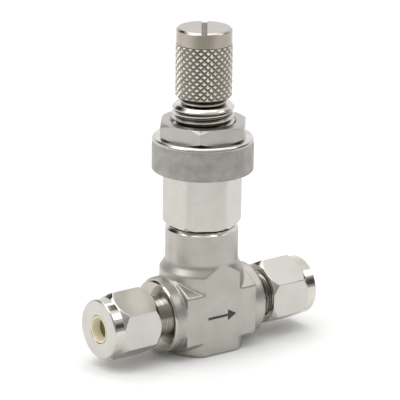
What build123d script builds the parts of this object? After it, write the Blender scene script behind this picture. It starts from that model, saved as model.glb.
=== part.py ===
"""Metering needle valve with two 6 mm twin-ferrule tube ports and a panel-mount bonnet.

Frame: millimetres, +Z up along the stem, +X along the tube run, origin at the centre of the
foot that the forged body stands on. The valve is modelled closed, with its nuts finger-tight.
"""

import math
import os

from build123d import *

# --- forged body -------------------------------------------------------------------------
PORT_HEIGHT = 9.3  # foot to tube centreline
BODY_WIDTH = 16.9  # front flat to back flat, and the column's diameter
DRUM_BULGE = 1.25  # the forging's round middle would stand this far out of the flats that cut it
DRUM_HEIGHT = 10.0  # centreline to the top of the drum's side
SHOULDER_HEIGHT = 1.9  # slope from the drum up to the column
COLUMN_HEIGHT = 20.2  # centreline to the column's rim
COLUMN_CHAMFER = 0.65
PAD_HALF_X = 9.8  # flat-sided part of each arm
PAD_EDGE = 5.8  # half height of the pads' flat faces
PAD_CROWN = 8.7  # half height at the middle of the pads' crowned top
DISC_END_X = 13.0  # outer face of the run's round ends, which are as wide as the body
DISC_CHAMFER = 0.4
FORGING_R = 0.6  # blend left by the die
PAD_EDGE_R = 1.2
FOOT_CHAMFER = 0.5

# --- port ends of the body ---------------------------------------------------------------
NECK_R = 11.11 / 2  # 7/16-20 male thread, drawn at its major diameter
NECK_LENGTH = 10.2
NECK_RELIEF_R = 4.75
NECK_RELIEF_LENGTH = 1.6
NECK_CHAMFER = 0.4
SOCKET_R = 3.05  # takes a 6 mm tube
SOCKET_WALL = 0.55  # the tube bottoms this far outboard of the disc's face
CONE_MOUTH_R = 4.25
CONE_LENGTH = 2.4

# --- flow path ---------------------------------------------------------------------------
PASSAGE_R = 0.9
PASSAGE_SLOPE = 12.0  # degrees, down to the orifice on one side and up to the chamber on the other
ORIFICE_R = 0.71
ORIFICE_RISE = 1.0  # seat edge above the tube centreline
ORIFICE_DEPTH = 6.8
CHAMBER_R = 2.5
CHAMBER_HEIGHT = 5.0
CAVITY_R = 5.2  # counterbore that locates the bonnet's nose
CAVITY_HEIGHT = 4.6
BODY_THREAD_R = 6.35  # 1/2-20 thread between body and bonnet
BODY_THREAD_MOUTH = 0.4

# --- bonnet ------------------------------------------------------------------------------
THREAD_GAP = 0.05  # radial gap between mating threads drawn as plain cylinders
GASKET_THICKNESS = 0.8
GASKET_BORE_R = 2.7
NOSE_GAP = 0.1
NOSE_LENGTH = 4.4
BONNET_RELIEF_LENGTH = 1.0
BONNET_RELIEF_R = 5.5
HEX_GAP = 0.5  # open joint line between the column's rim and the hexagon
BONNET_HEX_AF = 16.0
BONNET_HEX_HEIGHT = 12.8
BONNET_HEX_TURNED_R = 9.1
BONNET_HEX_CHAMFER = 0.7
PANEL_THREAD_R = 14.29 / 2  # 9/16-18 panel thread, drawn at its major diameter
BONNET_NECK_LENGTH = 15.6
BONNET_NECK_CHAMFER = 0.75
GLAND_R = 3.95
GLAND_END_GAP = 1.3  # left above the stem's land when the valve is fully open
STEM_THREAD_R = 6.35 / 2  # 1/4-40 adjusting thread
STEM_THREAD_GAP = 0.07
STEM_THREAD_LENGTH = 12.5  # threaded length inside the bonnet
SHANK_WELL_R = 4.2

# --- panel ring and nut ------------------------------------------------------------------
RING_R = 11.7
RING_HEIGHT = 7.9
RING_FILLET = 0.85
RING_BORE_GAP = 0.2
PANEL_NUT_AF = 19.05
PANEL_NUT_THICKNESS = 3.75
PANEL_NUT_ROLL = 50.5  # degrees from +X to a corner
PANEL_NUT_CHAMFER_R = 9.75
PANEL_NUT_CHAMFER_ANGLE = 30.0  # degrees from the nut's face
PANEL_NUT_COUNTERSINK = 0.5

# --- stem --------------------------------------------------------------------------------
STEM_TRAVEL = 6.35  # ten turns of a 0.635 mm pitch
SEAT_GAP = 0.02
NEEDLE_HALF_ANGLE = 1.5  # degrees
NEEDLE_LENGTH = 6.5
STEM_NECK_R = 1.9
STEM_CONE_HEIGHT = 1.25
STEM_NECK_LENGTH = 6.2
LAND_LENGTH = 6.4
LAND_GAP = 0.08
GROOVE_R = 2.5
GROOVE_RISE = 1.5  # from the land's lower edge to the groove
SEAL_GAP = 0.02
BACKUP_THICKNESS = 1.0
STEM_UNDERCUT_LENGTH = 0.8
STEM_UNDERCUT_DEPTH = 0.4
STEM_THREAD_BELOW_HEX = 3.2  # the stem's thread ends this far below the panel shoulder
STEM_SHANK_R = 2.35

# --- handle ------------------------------------------------------------------------------
HANDLE_R = 6.38  # smooth band at the top
KNURL_R = 6.55  # over the knurl's crests
HANDLE_LIFT = 0.35  # gap between the closed handle and the bonnet
HANDLE_SKIRT_R = 5.2
HANDLE_SKIRT_HEIGHT = 0.35
KNURL_LENGTH = 11.9
HANDLE_BAND_HEIGHT = 3.7
HANDLE_TOP_CHAMFER = 0.45
HANDLE_BORE_GAP = 0.04
HANDLE_BORE_DEPTH = 12.0
SLOT_WIDTH = 1.3
SLOT_DEPTH = 0.5
SLOT_ANGLE = 53.5  # degrees from +X
SET_SCREW_R = 1.5  # M3
SET_SCREW_RISE = 6.5  # above the handle's lower face
SET_SCREW_LENGTH = 3.5
SET_SCREW_HEX_AF = 1.5
SET_SCREW_HEX_DEPTH = 1.6

# --- tube fittings -----------------------------------------------------------------------
NUT_AF = 14.0
NUT_LENGTH = 12.7
NUT_REACH = 5.65  # from the end of the body's neck to the nut's face, finger-tight
NUT_NOSE_R = 6.9
NUT_NOSE_LENGTH = 2.7
NUT_FACE_CHAMFER = 0.25
NUT_FRONT_ANGLE = 40.0  # degrees from the axis, where the hexagon runs into the nose
NUT_REAR_R = 7.0
NUT_REAR_CHAMFER = 1.5
NUT_THREAD_RUNOUT = 0.4  # past the end of the body's neck
NUT_POCKET_R = 5.1
NUT_DRIVE_LENGTH = 0.9  # conical shoulder that pushes the back ferrule
NUT_BORE_R = 3.2
NUT_ROLL = {"left": 27.3, "right": 32.6}  # degrees from +Y to a corner
FERRULE_BORE_R = 3.06
FERRULE_GAP = 0.08
FRONT_FERRULE_ENTRY = 1.85  # how far its nose reaches into the body's cone
FRONT_FERRULE_FLANGE_R = 4.8
FRONT_FERRULE_FLANGE_LENGTH = 0.85
BACK_FERRULE_RECESS = 0.7
BACK_FERRULE_FLANGE_R = 4.4
BACK_FERRULE_FLANGE_LENGTH = 0.6
PLUG_GAP = 0.05
PLUG_WALL = 0.4
PLUG_DEPTH = 2.6
PLUG_FLOOR = 0.4

# --- heights and places that follow from the sizes above ----------------------------------
FLAT_Y = BODY_WIDTH / 2
DISC_R = FLAT_Y
DRUM_R = FLAT_Y + DRUM_BULGE
DRUM_TOP = PORT_HEIGHT + DRUM_HEIGHT
SHOULDER_TOP = DRUM_TOP + SHOULDER_HEIGHT
COLUMN_TOP = PORT_HEIGHT + COLUMN_HEIGHT
SEAT_Z = PORT_HEIGHT + ORIFICE_RISE
GASKET_Z = SEAT_Z + CHAMBER_HEIGHT
BODY_THREAD_Z = GASKET_Z + CAVITY_HEIGHT
BONNET_Z = GASKET_Z + GASKET_THICKNESS
HEX_Z = COLUMN_TOP + HEX_GAP
PANEL_SHOULDER_Z = HEX_Z + BONNET_HEX_HEIGHT
BONNET_TOP = PANEL_SHOULDER_Z + BONNET_NECK_LENGTH
RING_TOP = PANEL_SHOULDER_Z + RING_HEIGHT
PANEL_NUT_TOP = RING_TOP + PANEL_NUT_THICKNESS
LAND_Z = SEAT_Z + SEAT_GAP + STEM_CONE_HEIGHT + STEM_NECK_LENGTH
GLAND_TOP = LAND_Z + LAND_LENGTH + STEM_TRAVEL + GLAND_END_GAP
SEAL_R = (GLAND_R - GROOVE_R) / 2 - SEAL_GAP
GROOVE_Z = LAND_Z + GROOVE_RISE
O_RING_Z = GROOVE_Z + BACKUP_THICKNESS + 2 * SEAL_GAP + SEAL_R
UPPER_BACKUP_Z = O_RING_Z + SEAL_R + SEAL_GAP
GROOVE_TOP = UPPER_BACKUP_Z + BACKUP_THICKNESS + SEAL_GAP
STEM_THREAD_END = PANEL_SHOULDER_Z - STEM_THREAD_BELOW_HEX
HANDLE_Z = BONNET_TOP + HANDLE_LIFT
KNURL_Z = HANDLE_Z + HANDLE_SKIRT_HEIGHT + KNURL_R - HANDLE_SKIRT_R
KNURL_TOP = KNURL_Z + KNURL_LENGTH
HANDLE_TOP = KNURL_TOP + HANDLE_BAND_HEIGHT
STEM_TOP = HANDLE_Z + HANDLE_BORE_DEPTH - HANDLE_BORE_GAP
SET_SCREW_Z = HANDLE_Z + SET_SCREW_RISE
NECK_END_X = DISC_END_X + NECK_LENGTH
SOCKET_X = DISC_END_X + SOCKET_WALL
NUT_FACE_X = NECK_END_X + NUT_REACH
FLANGE_BACK_X = NECK_END_X + FERRULE_GAP + FRONT_FERRULE_FLANGE_LENGTH
BACK_FERRULE_END_X = FLANGE_BACK_X + FERRULE_GAP + BACK_FERRULE_FLANGE_LENGTH
NUT_POCKET_X = BACK_FERRULE_END_X + FERRULE_GAP

SIDES = {"left": -1, "right": 1}
BASE = (Align.CENTER, Align.CENTER, Align.MIN)
os.makedirs("parts", exist_ok=True)


def save(builder, label):
    """Label a finished piece and write it as its own STEP file."""
    builder.part.label = label
    export_step(builder.part, f"parts/{label}.step")


def turned(outline, plane=Plane.XZ, axis=Axis.Z, mode=Mode.ADD):
    """Turn a closed outline of (radius, height) points in the plane about an axis."""
    with BuildSketch(plane) as section:
        with BuildLine():
            Polyline(*outline, close=True)
        make_face()
    revolve(section.sketch, axis=axis, mode=mode)


def port_turned(side, outline, mode=Mode.ADD):
    """Turn a closed outline of (distance from the stem, radius) points about a port's axis."""
    section = Plane(origin=(0, 0, PORT_HEIGHT), x_dir=(side, 0, 0), z_dir=(0, -side, 0))
    turned(outline, section, Axis((0, 0, PORT_HEIGHT), (side, 0, 0)), mode)


def hex_corner(across_flats):
    """Radius over the corners of a hexagon."""
    return across_flats / math.sqrt(3)


# --- valve body: the forging's round middle, cut by two flats --------------------------------
with BuildPart() as drum_blank:
    with BuildSketch() as drum_section:
        Circle(DRUM_R)
        Rectangle(2 * DRUM_R, BODY_WIDTH, mode=Mode.INTERSECT)
        fillet(drum_section.vertices(), FORGING_R)
    extrude(amount=SHOULDER_TOP)
    turned(
        [
            (0, 0), (DRUM_R - FOOT_CHAMFER, 0), (DRUM_R, FOOT_CHAMFER), (DRUM_R, DRUM_TOP),
            (FLAT_Y, SHOULDER_TOP), (0, SHOULDER_TOP),
        ],
        mode=Mode.INTERSECT,
    )

# --- valve body: the flat-sided arms with their crowned tops ---------------------------------
with BuildPart() as arm_blank:
    pad_plane = Plane(origin=(-PAD_HALF_X, 0, PORT_HEIGHT), x_dir=(0, 1, 0), z_dir=(1, 0, 0))
    with BuildSketch(pad_plane) as pad_section:
        with BuildLine():
            Line((FLAT_Y, -PAD_EDGE), (FLAT_Y, PAD_EDGE))
            ThreePointArc((FLAT_Y, PAD_EDGE), (0, PAD_CROWN), (-FLAT_Y, PAD_EDGE))
            Line((-FLAT_Y, PAD_EDGE), (-FLAT_Y, -PAD_EDGE))
            ThreePointArc((-FLAT_Y, -PAD_EDGE), (0, -PAD_CROWN), (FLAT_Y, -PAD_EDGE))
        make_face()
        fillet(pad_section.vertices(), PAD_EDGE_R)
    extrude(amount=2 * PAD_HALF_X)
    fillet(arm_blank.edges().group_by(Axis.X)[0] + arm_blank.edges().group_by(Axis.X)[-1], FORGING_R)

# --- valve body: the whole forging, then its machining ---------------------------------------
with BuildPart() as valve_body:
    add(drum_blank.part)
    add(arm_blank.part)
    for side in SIDES.values():
        port_turned(side, [
            (0, 0), (0, DISC_R), (DISC_END_X - DISC_CHAMFER, DISC_R),
            (DISC_END_X, DISC_R - DISC_CHAMFER), (DISC_END_X, 0),
        ])
    turned([
        (0, PORT_HEIGHT), (FLAT_Y, PORT_HEIGHT), (FLAT_Y, COLUMN_TOP - COLUMN_CHAMFER),
        (FLAT_Y - COLUMN_CHAMFER, COLUMN_TOP), (0, COLUMN_TOP),
    ])
    for side in SIDES.values():
        port_turned(side, [
            (DISC_END_X - NECK_CHAMFER, 0), (DISC_END_X - NECK_CHAMFER, NECK_RELIEF_R),
            (DISC_END_X + NECK_RELIEF_LENGTH, NECK_RELIEF_R),
            (DISC_END_X + NECK_RELIEF_LENGTH + NECK_R - NECK_RELIEF_R, NECK_R),
            (NECK_END_X - NECK_CHAMFER, NECK_R), (NECK_END_X, NECK_R - NECK_CHAMFER), (NECK_END_X, 0),
        ])
        port_turned(side, [
            (SOCKET_X, 0), (SOCKET_X, SOCKET_R), (NECK_END_X - CONE_LENGTH, SOCKET_R),
            (NECK_END_X, CONE_MOUTH_R), (NECK_END_X, 0),
        ], mode=Mode.SUBTRACT)
        rise = side * math.sin(math.radians(PASSAGE_SLOPE))
        run = -side * math.cos(math.radians(PASSAGE_SLOPE))
        passage_length = SOCKET_X / abs(run)
        start = Plane(origin=(side * SOCKET_X, 0, PORT_HEIGHT), z_dir=(run, 0, rise))
        with Locations(start):
            Cylinder(PASSAGE_R, passage_length, align=BASE, mode=Mode.SUBTRACT)
    turned([
        (0, SEAT_Z - ORIFICE_DEPTH), (0, COLUMN_TOP), (BODY_THREAD_R + BODY_THREAD_MOUTH, COLUMN_TOP),
        (BODY_THREAD_R, COLUMN_TOP - BODY_THREAD_MOUTH), (BODY_THREAD_R, BODY_THREAD_Z),
        (CAVITY_R, BODY_THREAD_Z), (CAVITY_R, GASKET_Z), (CHAMBER_R, GASKET_Z), (CHAMBER_R, SEAT_Z),
        (ORIFICE_R, SEAT_Z), (ORIFICE_R, SEAT_Z - ORIFICE_DEPTH),
    ], mode=Mode.SUBTRACT)
save(valve_body, "valve_body")

# --- bonnet seal: flat ring clamped between the body's cavity and the bonnet's nose -----------
with BuildPart() as bonnet_gasket:
    with BuildSketch(Plane.XY.offset(GASKET_Z)):
        Circle(CAVITY_R - NOSE_GAP)
        Circle(GASKET_BORE_R, mode=Mode.SUBTRACT)
    extrude(amount=GASKET_THICKNESS)
save(bonnet_gasket, "bonnet_gasket")

# --- bonnet: nose, body thread, hexagon, panel neck and the gland inside ----------------------
with BuildPart() as bonnet:
    with BuildSketch(Plane.XY.offset(HEX_Z)):
        RegularPolygon(BONNET_HEX_AF / 2, 6, major_radius=False, rotation=90)
    extrude(amount=BONNET_HEX_HEIGHT)
    turned([
        (0, HEX_Z), (BONNET_HEX_TURNED_R - BONNET_HEX_CHAMFER, HEX_Z),
        (BONNET_HEX_TURNED_R, HEX_Z + BONNET_HEX_CHAMFER),
        (BONNET_HEX_TURNED_R, PANEL_SHOULDER_Z), (0, PANEL_SHOULDER_Z),
    ], mode=Mode.INTERSECT)
    turned([
        (0, BONNET_Z), (CAVITY_R - NOSE_GAP, BONNET_Z), (CAVITY_R - NOSE_GAP, BONNET_Z + NOSE_LENGTH),
        (BODY_THREAD_R - THREAD_GAP, BONNET_Z + NOSE_LENGTH),
        (BODY_THREAD_R - THREAD_GAP, COLUMN_TOP - BONNET_RELIEF_LENGTH),
        (BONNET_RELIEF_R, COLUMN_TOP - BONNET_RELIEF_LENGTH), (BONNET_RELIEF_R, HEX_Z), (0, HEX_Z),
    ])
    turned([
        (0, PANEL_SHOULDER_Z), (PANEL_THREAD_R, PANEL_SHOULDER_Z),
        (PANEL_THREAD_R, BONNET_TOP - BONNET_NECK_CHAMFER),
        (PANEL_THREAD_R - BONNET_NECK_CHAMFER, BONNET_TOP), (0, BONNET_TOP),
    ])
    turned([
        (0, BONNET_Z), (GLAND_R, BONNET_Z), (GLAND_R, GLAND_TOP),
        (STEM_THREAD_R + STEM_THREAD_GAP, GLAND_TOP),
        (STEM_THREAD_R + STEM_THREAD_GAP, GLAND_TOP + STEM_THREAD_LENGTH),
        (SHANK_WELL_R, GLAND_TOP + STEM_THREAD_LENGTH), (SHANK_WELL_R, BONNET_TOP), (0, BONNET_TOP),
    ], mode=Mode.SUBTRACT)
save(bonnet, "bonnet")

# --- panel ring: sits on the bonnet's shoulder, a panel goes under it ------------------------
with BuildPart() as panel_ring:
    with BuildSketch(Plane.XY.offset(PANEL_SHOULDER_Z)):
        Circle(RING_R)
        Circle(PANEL_THREAD_R + RING_BORE_GAP, mode=Mode.SUBTRACT)
    extrude(amount=RING_HEIGHT)
    fillet(panel_ring.edges().group_by(Axis.Z)[-1].sort_by(SortBy.RADIUS)[-1], RING_FILLET)
save(panel_ring, "panel_ring")

# --- panel nut ---------------------------------------------------------------------------
with BuildPart() as panel_nut:
    with BuildSketch(Plane.XY.offset(RING_TOP)):
        RegularPolygon(PANEL_NUT_AF / 2, 6, major_radius=False, rotation=PANEL_NUT_ROLL)
    extrude(amount=PANEL_NUT_THICKNESS)
    nut_edge = hex_corner(PANEL_NUT_AF) - PANEL_NUT_CHAMFER_R
    nut_drop = nut_edge * math.tan(math.radians(PANEL_NUT_CHAMFER_ANGLE))
    turned([
        (0, RING_TOP), (PANEL_NUT_CHAMFER_R, RING_TOP), (hex_corner(PANEL_NUT_AF), RING_TOP + nut_drop),
        (hex_corner(PANEL_NUT_AF), PANEL_NUT_TOP - nut_drop), (PANEL_NUT_CHAMFER_R, PANEL_NUT_TOP),
        (0, PANEL_NUT_TOP),
    ], mode=Mode.INTERSECT)
    turned([
        (0, RING_TOP), (PANEL_THREAD_R + PANEL_NUT_COUNTERSINK, RING_TOP),
        (PANEL_THREAD_R + THREAD_GAP, RING_TOP + PANEL_NUT_COUNTERSINK),
        (PANEL_THREAD_R + THREAD_GAP, PANEL_NUT_TOP - PANEL_NUT_COUNTERSINK),
        (PANEL_THREAD_R + PANEL_NUT_COUNTERSINK, PANEL_NUT_TOP), (0, PANEL_NUT_TOP),
    ], mode=Mode.SUBTRACT)
save(panel_nut, "panel_nut")

# --- stem: tapered needle, land with the seal groove, adjusting thread, plain shank -----------
with BuildPart() as stem:
    needle_root_r = ORIFICE_R - SEAT_GAP
    needle_tip_r = needle_root_r - NEEDLE_LENGTH * math.tan(math.radians(NEEDLE_HALF_ANGLE))
    land_r = GLAND_R - LAND_GAP
    land_top = LAND_Z + LAND_LENGTH
    undercut_r = STEM_THREAD_R - STEM_UNDERCUT_DEPTH
    turned([
        (0, SEAT_Z + SEAT_GAP - NEEDLE_LENGTH), (needle_tip_r, SEAT_Z + SEAT_GAP - NEEDLE_LENGTH),
        (needle_root_r, SEAT_Z + SEAT_GAP), (STEM_NECK_R, SEAT_Z + SEAT_GAP + STEM_CONE_HEIGHT),
        (STEM_NECK_R, LAND_Z), (land_r, LAND_Z), (land_r, GROOVE_Z), (GROOVE_R, GROOVE_Z),
        (GROOVE_R, GROOVE_TOP), (land_r, GROOVE_TOP), (land_r, land_top), (undercut_r, land_top),
        (undercut_r, land_top + STEM_UNDERCUT_LENGTH), (STEM_THREAD_R, land_top + STEM_UNDERCUT_LENGTH),
        (STEM_THREAD_R, STEM_THREAD_END), (STEM_SHANK_R, STEM_THREAD_END), (STEM_SHANK_R, STEM_TOP),
        (0, STEM_TOP),
    ])
save(stem, "stem")

# --- stem seals: an O-ring between two backup rings in the stem's groove ----------------------
with BuildPart() as stem_o_ring:
    with BuildSketch(Plane.XZ):
        with Locations(((GROOVE_R + GLAND_R) / 2, O_RING_Z)):
            Circle(SEAL_R)
    revolve(axis=Axis.Z)
save(stem_o_ring, "stem_o_ring")

for name, height in {"lower": GROOVE_Z + SEAL_GAP, "upper": UPPER_BACKUP_Z}.items():
    with BuildPart() as backup_ring:
        with BuildSketch(Plane.XY.offset(height)):
            Circle(GLAND_R - SEAL_GAP)
            Circle(GROOVE_R + SEAL_GAP, mode=Mode.SUBTRACT)
        extrude(amount=BACKUP_THICKNESS)
    save(backup_ring, f"{name}_backup_ring")

# --- handle: knurled barrel with a screwdriver slot, held on the stem by a set screw ----------
with BuildPart() as handle:
    turned([
        (0, HANDLE_Z), (HANDLE_SKIRT_R, HANDLE_Z), (HANDLE_SKIRT_R, HANDLE_Z + HANDLE_SKIRT_HEIGHT),
        (KNURL_R, KNURL_Z), (KNURL_R, KNURL_TOP), (HANDLE_R, KNURL_TOP + KNURL_R - HANDLE_R),
        (HANDLE_R, HANDLE_TOP - HANDLE_TOP_CHAMFER), (HANDLE_R - HANDLE_TOP_CHAMFER, HANDLE_TOP),
        (0, HANDLE_TOP),
    ])
    with Locations((0, 0, HANDLE_Z)):
        Cylinder(STEM_SHANK_R + HANDLE_BORE_GAP, HANDLE_BORE_DEPTH, align=BASE, mode=Mode.SUBTRACT)
    with Locations((0, 0, HANDLE_TOP - SLOT_DEPTH)):
        Box(
            3 * KNURL_R, SLOT_WIDTH, 2 * SLOT_DEPTH, rotation=(0, 0, SLOT_ANGLE), align=BASE,
            mode=Mode.SUBTRACT,
        )
    with Locations(Plane(origin=(0, 0, SET_SCREW_Z), z_dir=(0, 1, 0))):
        Cylinder(SET_SCREW_R + SEAL_GAP, 2 * KNURL_R, align=BASE, mode=Mode.SUBTRACT)
save(handle, "handle")

with BuildPart() as handle_set_screw:
    with Locations(Plane(origin=(0, STEM_SHANK_R, SET_SCREW_Z), z_dir=(0, 1, 0))):
        Cylinder(SET_SCREW_R, SET_SCREW_LENGTH, align=BASE)
    with BuildSketch(Plane(origin=(0, STEM_SHANK_R + SET_SCREW_LENGTH, SET_SCREW_Z), z_dir=(0, 1, 0))):
        RegularPolygon(SET_SCREW_HEX_AF / 2, 6, major_radius=False)
    extrude(amount=-SET_SCREW_HEX_DEPTH, mode=Mode.SUBTRACT)
save(handle_set_screw, "handle_set_screw")

# --- one set of tube fitting pieces for each port ---------------------------------------------
for side_name, side in SIDES.items():
    with BuildPart() as front_ferrule:
        nose_x = NECK_END_X - FRONT_FERRULE_ENTRY
        flange_x = NECK_END_X + FERRULE_GAP
        cone_slope = (CONE_MOUTH_R - SOCKET_R) / CONE_LENGTH
        cone_r = CONE_MOUTH_R - FERRULE_GAP
        port_turned(side, [
            (nose_x, FERRULE_BORE_R), (nose_x, cone_r - FRONT_FERRULE_ENTRY * cone_slope),
            (NECK_END_X, cone_r), (flange_x, cone_r), (flange_x, FRONT_FERRULE_FLANGE_R),
            (FLANGE_BACK_X, FRONT_FERRULE_FLANGE_R),
            (FLANGE_BACK_X, FERRULE_BORE_R + BACK_FERRULE_RECESS),
            (FLANGE_BACK_X - BACK_FERRULE_RECESS, FERRULE_BORE_R),
        ])
    save(front_ferrule, f"{side_name}_front_ferrule")

    with BuildPart() as back_ferrule:
        back_flange_x = FLANGE_BACK_X + FERRULE_GAP
        port_turned(side, [
            (back_flange_x - BACK_FERRULE_RECESS, FERRULE_BORE_R),
            (back_flange_x, FERRULE_BORE_R + BACK_FERRULE_RECESS), (back_flange_x, BACK_FERRULE_FLANGE_R),
            (BACK_FERRULE_END_X, BACK_FERRULE_FLANGE_R), (BACK_FERRULE_END_X, FERRULE_BORE_R),
        ])
    save(back_ferrule, f"{side_name}_back_ferrule")

    with BuildPart() as tube_nut:
        rear_x = NUT_FACE_X - NUT_LENGTH
        thread_end_x = NECK_END_X + NUT_THREAD_RUNOUT
        nose_start_x = NUT_FACE_X - NUT_NOSE_LENGTH
        corner_rise = hex_corner(NUT_AF) - NUT_NOSE_R
        corner_x = nose_start_x - corner_rise / math.tan(math.radians(NUT_FRONT_ANGLE))
        hex_plane = Plane(origin=(side * rear_x, 0, PORT_HEIGHT), x_dir=(0, 1, 0), z_dir=(side, 0, 0))
        with BuildSketch(hex_plane):
            RegularPolygon(NUT_AF / 2, 6, major_radius=False, rotation=side * NUT_ROLL[side_name])
        extrude(amount=NUT_LENGTH)
        port_turned(side, [
            (rear_x, 0), (rear_x, NUT_REAR_R), (rear_x + NUT_REAR_CHAMFER, hex_corner(NUT_AF)),
            (corner_x, hex_corner(NUT_AF)), (nose_start_x, NUT_NOSE_R),
            (NUT_FACE_X - NUT_FACE_CHAMFER, NUT_NOSE_R), (NUT_FACE_X, NUT_NOSE_R - NUT_FACE_CHAMFER),
            (NUT_FACE_X, 0),
        ], mode=Mode.INTERSECT)
        port_turned(side, [
            (rear_x, 0), (rear_x, NECK_R + THREAD_GAP), (thread_end_x, NECK_R + THREAD_GAP),
            (thread_end_x, NUT_POCKET_R), (NUT_POCKET_X, NUT_POCKET_R),
            (NUT_POCKET_X + NUT_DRIVE_LENGTH, NUT_BORE_R), (NUT_FACE_X, NUT_BORE_R), (NUT_FACE_X, 0),
        ], mode=Mode.SUBTRACT)
    save(tube_nut, f"{side_name}_tube_nut")

    with BuildPart() as port_plug:
        plug_r = NUT_BORE_R - PLUG_GAP
        port_turned(side, [
            (NUT_FACE_X - PLUG_DEPTH - PLUG_FLOOR, 0), (NUT_FACE_X - PLUG_DEPTH - PLUG_FLOOR, plug_r),
            (NUT_FACE_X, plug_r), (NUT_FACE_X, plug_r - PLUG_WALL),
            (NUT_FACE_X - PLUG_DEPTH, plug_r - PLUG_WALL), (NUT_FACE_X - PLUG_DEPTH, 0),
        ])
    save(port_plug, f"{side_name}_port_plug")
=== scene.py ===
"""Looks of a panel-mount metering needle valve with two twin-ferrule tube ends.

Lengths are millimetres until a mesh is written, and then metres. Z runs up the stem and X along the
tubes. A turned piece is a grid whose rows are the corners of its outline and whose columns go round
its axis, so its edges are as sharp as a lathe leaves them. The forging is a grid of directions from
its centre, each with the distance at which that direction leaves the metal.
"""

import logging
import math
from dataclasses import dataclass, field
from enum import Enum

import bpy
import numpy as np
from mathutils import Matrix, Vector


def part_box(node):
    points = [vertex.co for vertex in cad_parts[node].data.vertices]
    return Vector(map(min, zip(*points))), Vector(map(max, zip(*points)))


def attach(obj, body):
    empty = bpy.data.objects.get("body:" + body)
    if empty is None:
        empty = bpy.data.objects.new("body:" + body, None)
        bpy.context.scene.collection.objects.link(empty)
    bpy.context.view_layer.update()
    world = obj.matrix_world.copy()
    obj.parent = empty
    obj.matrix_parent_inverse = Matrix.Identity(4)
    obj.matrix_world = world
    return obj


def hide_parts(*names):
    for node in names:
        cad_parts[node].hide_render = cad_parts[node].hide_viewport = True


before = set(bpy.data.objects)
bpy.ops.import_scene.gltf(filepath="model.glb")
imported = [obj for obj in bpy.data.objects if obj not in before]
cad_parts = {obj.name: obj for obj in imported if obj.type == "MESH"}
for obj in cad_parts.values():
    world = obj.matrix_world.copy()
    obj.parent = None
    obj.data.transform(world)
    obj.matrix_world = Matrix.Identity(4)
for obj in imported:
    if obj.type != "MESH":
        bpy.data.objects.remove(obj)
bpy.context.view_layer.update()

log = logging.getLogger("needle_valve")
MM = 0.001
TURN = 2 * math.pi
THREAD_DEPTH = 0.6134  # depth of a 60 degree thread, in pitches
THREAD_STEPS = 72  # cross-sections in one turn of a thread
DRAWN_OUT = 0.06  # fineness of drawn marks along the bar, as a share of that across it


# --- small tools -----------------------------------------------------------------------------


def linear(colour: str) -> tuple[float, float, float, float]:
    """Turn an sRGB hex colour into linear light.

    Args:
        colour: Six hex digits after a hash.

    Returns:
        Red, green, blue and a full alpha.
    """
    srgb = np.array([int(colour[i : i + 2], 16) for i in (1, 3, 5)]) / 255
    light = np.where(srgb <= 0.04045, srgb / 12.92, ((srgb + 0.055) / 1.055) ** 2.4)
    return (*light.tolist(), 1.0)


def add_node(
    tree: bpy.types.NodeTree, kind: str, settings: dict | None = None, sockets: dict | None = None
) -> bpy.types.Node:
    """Add a shader node, set it up and join it to the nodes it reads.

    Args:
        tree: The material's node tree.
        kind: The node's type, without its ShaderNode prefix.
        settings: Properties of the node itself.
        sockets: Inputs by name or number, each a value or the output socket that feeds it.

    Returns:
        The new node.
    """
    made = tree.nodes.new("ShaderNode" + kind)
    for key, value in (settings or {}).items():
        setattr(made, key, value)
    for key, value in (sockets or {}).items():
        if isinstance(value, bpy.types.NodeSocket):
            tree.links.new(value, made.inputs[key])
        else:
            made.inputs[key].default_value = value
    return made


def cad_box(node: str) -> np.ndarray:
    """Give a CAD node's lowest and highest corners in millimetres.

    Args:
        node: The node's name.

    Returns:
        Two rows of x, y and z.
    """
    return np.array([list(corner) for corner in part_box(node)]) / MM


# --- finishes --------------------------------------------------------------------------------


class Lay(Enum):
    """Which way a metal surface's marks run."""

    EVEN = "even"
    TURNED_Z = "turned about the stem"
    TURNED_X = "turned about the tubes"
    DRAWN_Z = "drawn along the stem"
    DRAWN_X = "drawn along the tubes"


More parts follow.
